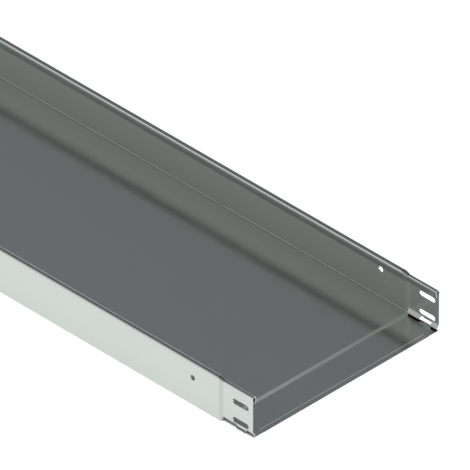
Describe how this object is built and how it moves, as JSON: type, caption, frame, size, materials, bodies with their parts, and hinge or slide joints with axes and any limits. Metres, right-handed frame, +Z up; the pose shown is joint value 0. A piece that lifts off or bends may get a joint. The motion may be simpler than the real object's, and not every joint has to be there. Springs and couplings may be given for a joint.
{
  "type": "cable tray",
  "caption": "Straight cable tray folded from galvanised sheet steel, with hemmed top edges and a stepped-in coupling end whose bottom corners are pressed inwards and whose walls have bolt slots.",
  "frame": {"origin": "middle of the tray's underside, halfway along its length and its width", "axes": "+X along the tray towards the coupling end, +Y across the tray, +Z up, out of the open side"},
  "size_m": [3.05, 0.3, 0.06],
  "materials": {
    "galvanised_steel": "satin zinc coating of strip-galvanised sheet, grey with a faint green cast and a faint grain"
  },
  "bodies": {
    "root": {"tray": "galvanised_steel"}
  },
  "joints": []
}
